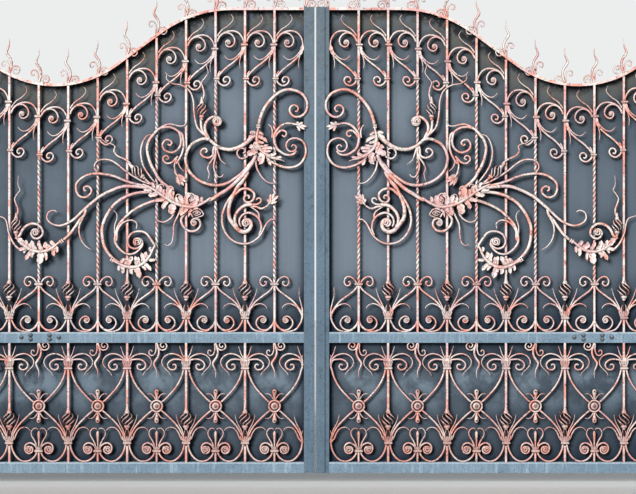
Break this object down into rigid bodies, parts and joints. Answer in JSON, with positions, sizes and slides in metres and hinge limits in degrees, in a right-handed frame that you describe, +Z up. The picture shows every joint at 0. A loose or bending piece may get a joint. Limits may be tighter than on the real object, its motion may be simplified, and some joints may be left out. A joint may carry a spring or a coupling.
{
  "type": "wrought iron driveway gate",
  "caption": "Double-leaf driveway gate with a wave-shaped top, sheet backing, twisted and basket bars, scrollwork panels and a large acanthus ornament, hung on square steel posts.",
  "frame": {"origin": "centre of the left post's base plate, on its underside", "axes": "+X along the closed gate towards the right post, +Y into the drive, the way the leaves open, +Z up"},
  "size_m": [4, 0.24, 2.4431],
  "materials": {
    "frame_paint": "satin blue-grey paint, dusty and worn",
    "rail_paint": "blue-grey paint with copper patina brushed over it",
    "sheet_paint": "blue-grey paint on flat sheet, rust-brown dirt under the top rail",
    "patina_iron": "graphite iron with copper patina brushed on the front faces"
  },
  "bodies": {
    "posts": {"left_post": "frame_paint", "right_post": "frame_paint", "left_base_plate": "frame_paint", "right_base_plate": "frame_paint", "left_post_cap": "frame_paint", "right_post_cap": "frame_paint", "left_hinge_pins": "frame_paint", "right_hinge_pins": "frame_paint"},
    "left_leaf": {"left_hinge_stile": "frame_paint", "left_meeting_stile": "frame_paint", "left_top_rail": "rail_paint", "left_mid_rail": "frame_paint", "left_bottom_rail": "frame_paint", "left_upper_sheet": "sheet_paint", "left_lower_sheet": "sheet_paint", "left_hinge_eyes": "frame_paint", "left_twisted_bars": "patina_iron", "left_basket_bars": "patina_iron", "left_lower_bars": "patina_iron", "left_finials": "patina_iron", "left_fern_scrolls": "patina_iron", "left_crown_scrolls": "patina_iron", "left_panel_scrolls": "patina_iron", "left_rosettes": "patina_iron", "left_great_scroll": "patina_iron", "left_collars": "patina_iron"},
    "right_leaf": {"cover_strip": "frame_paint", "right_hinge_stile": "frame_paint", "right_meeting_stile": "frame_paint", "right_top_rail": "rail_paint", "right_mid_rail": "frame_paint", "right_bottom_rail": "frame_paint", "right_upper_sheet": "sheet_paint", "right_lower_sheet": "sheet_paint", "right_hinge_eyes": "frame_paint", "right_twisted_bars": "patina_iron", "right_basket_bars": "patina_iron", "right_lower_bars": "patina_iron", "right_finials": "patina_iron", "right_fern_scrolls": "patina_iron", "right_crown_scrolls": "patina_iron", "right_panel_scrolls": "patina_iron", "right_rosettes": "patina_iron", "right_great_scroll": "patina_iron", "right_collars": "patina_iron"}
  },
  "joints": [
    {"name": "left_leaf_swing", "type": "hinge", "parent": "posts", "child": "left_leaf", "pos_m": [0.075, 0.037, 1], "axis": [0, 0, 1], "range_deg": [0, 100]},
    {"name": "right_leaf_swing", "type": "hinge", "parent": "posts", "child": "right_leaf", "pos_m": [3.685, 0.037, 1], "axis": [0, 0, -1], "range_deg": [0, 100]}
  ]
}
